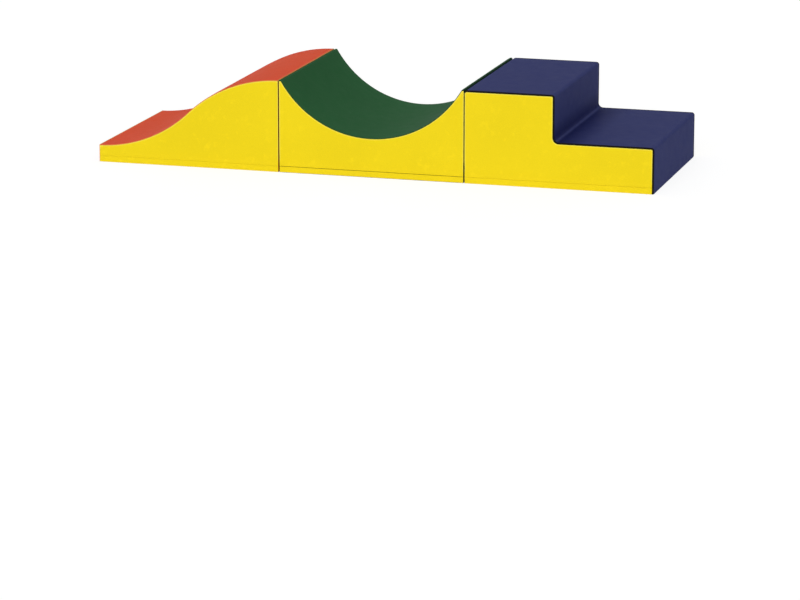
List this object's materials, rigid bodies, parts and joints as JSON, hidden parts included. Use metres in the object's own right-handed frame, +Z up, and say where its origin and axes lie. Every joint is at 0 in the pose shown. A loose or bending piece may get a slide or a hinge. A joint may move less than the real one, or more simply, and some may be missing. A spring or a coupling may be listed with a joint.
{
  "type": "soft play foam climber",
  "caption": "Set of soft foam play blocks in sewn vinyl covers: a wave ramp, a valley and steps, standing in a row to crawl and climb over, with zips sunk in their bases.",
  "frame": {"origin": "on the floor, under the centre of the row of blocks, which is the centre of the valley block", "axes": "+X along the row from the ramp to the steps, +Y towards the back long side, +Z up"},
  "size_m": [1.8058, 0.6, 0.293],
  "materials": {
    "yellow_vinyl": "satin",
    "orange_vinyl": "satin",
    "green_vinyl": "satin",
    "blue_vinyl": "satin",
    "base_sheet": "matte",
    "foam": "matte",
    "grip_tape": "matte",
    "zip_tape": "matte",
    "zip_teeth": "satin",
    "zip_metal": "satin"
  },
  "bodies": {
    "valley": {"valley_foam_core": "foam", "valley_top_panel": "green_vinyl", "valley_left_end_panel": "green_vinyl", "valley_right_end_panel": "green_vinyl", "valley_side_panel_front": "yellow_vinyl", "valley_side_panel_back": "yellow_vinyl", "valley_hem_strip_front": "yellow_vinyl", "valley_hem_strip_back": "yellow_vinyl", "valley_base_panel": "base_sheet", "valley_loop_strip": "grip_tape", "valley_hook_strip": "grip_tape", "valley_zip_tape_front": "zip_tape", "valley_zip_tape_back": "zip_tape", "valley_zip_teeth_front": "zip_teeth", "valley_zip_teeth_back": "zip_teeth", "valley_zip_stop_open_end": "zip_metal", "valley_zip_stop_closed_end": "zip_metal"},
    "ramp": {"ramp_foam_core": "foam", "ramp_top_panel": "orange_vinyl", "ramp_low_end_panel": "orange_vinyl", "ramp_tall_end_panel": "orange_vinyl", "ramp_side_panel_front": "yellow_vinyl", "ramp_side_panel_back": "yellow_vinyl", "ramp_hem_strip_front": "yellow_vinyl", "ramp_hem_strip_back": "yellow_vinyl", "ramp_base_panel": "base_sheet", "ramp_hook_strip": "grip_tape", "ramp_zip_tape_front": "zip_tape", "ramp_zip_tape_back": "zip_tape", "ramp_zip_teeth_front": "zip_teeth", "ramp_zip_teeth_back": "zip_teeth", "ramp_zip_stop_open_end": "zip_metal", "ramp_zip_stop_closed_end": "zip_metal"},
    "steps": {"steps_lower_slab": "foam", "steps_upper_slab": "foam", "steps_band": "blue_vinyl", "steps_side_panel_front": "yellow_vinyl", "steps_side_panel_back": "yellow_vinyl", "steps_hem_strip_front": "yellow_vinyl", "steps_hem_strip_back": "yellow_vinyl", "steps_base_panel": "base_sheet", "steps_loop_strip": "grip_tape", "steps_zip_tape_front": "zip_tape", "steps_zip_tape_back": "zip_tape", "steps_zip_teeth_front": "zip_teeth", "steps_zip_teeth_back": "zip_teeth", "steps_zip_stop_open_end": "zip_metal", "steps_zip_stop_closed_end": "zip_metal"},
    "ramp_slider": {"ramp_zip_slider": "zip_metal"},
    "ramp_pull": {"ramp_zip_pull": "zip_metal"},
    "valley_slider": {"valley_zip_slider": "zip_metal"},
    "valley_pull": {"valley_zip_pull": "zip_metal"},
    "steps_slider": {"steps_zip_slider": "zip_metal"},
    "steps_pull": {"steps_zip_pull": "zip_metal"}
  },
  "joints": [
    {"name": "ramp_parts", "type": "slide", "parent": "valley", "child": "ramp", "axis": [-1, 0, 0], "range_m": [0, 0.3]},
    {"name": "steps_part", "type": "slide", "parent": "valley", "child": "steps", "axis": [1, 0, 0], "range_m": [0, 0.3]},
    {"name": "ramp_zip", "type": "slide", "parent": "ramp", "child": "ramp_slider", "axis": [-1, 0, 0], "range_m": [0, 0.509]},
    {"name": "ramp_pull_swing", "type": "hinge", "parent": "ramp_slider", "child": "ramp_pull", "pos_m": [-0.3482, 0, 0.0022], "axis": [0, -1, 0], "range_deg": [0, 180]},
    {"name": "valley_zip", "type": "slide", "parent": "valley", "child": "valley_slider", "axis": [-1, 0, 0], "range_m": [0, 0.509]},
    {"name": "valley_pull_swing", "type": "hinge", "parent": "valley_slider", "child": "valley_pull", "pos_m": [0.2547, 0, 0.0022], "axis": [0, -1, 0], "range_deg": [0, 180]},
    {"name": "steps_zip", "type": "slide", "parent": "steps", "child": "steps_slider", "axis": [-1, 0, 0], "range_m": [0, 0.509]},
    {"name": "steps_pull_swing", "type": "hinge", "parent": "steps_slider", "child": "steps_pull", "pos_m": [0.8576, 0, 0.0022], "axis": [0, -1, 0], "range_deg": [0, 180]}
  ]
}
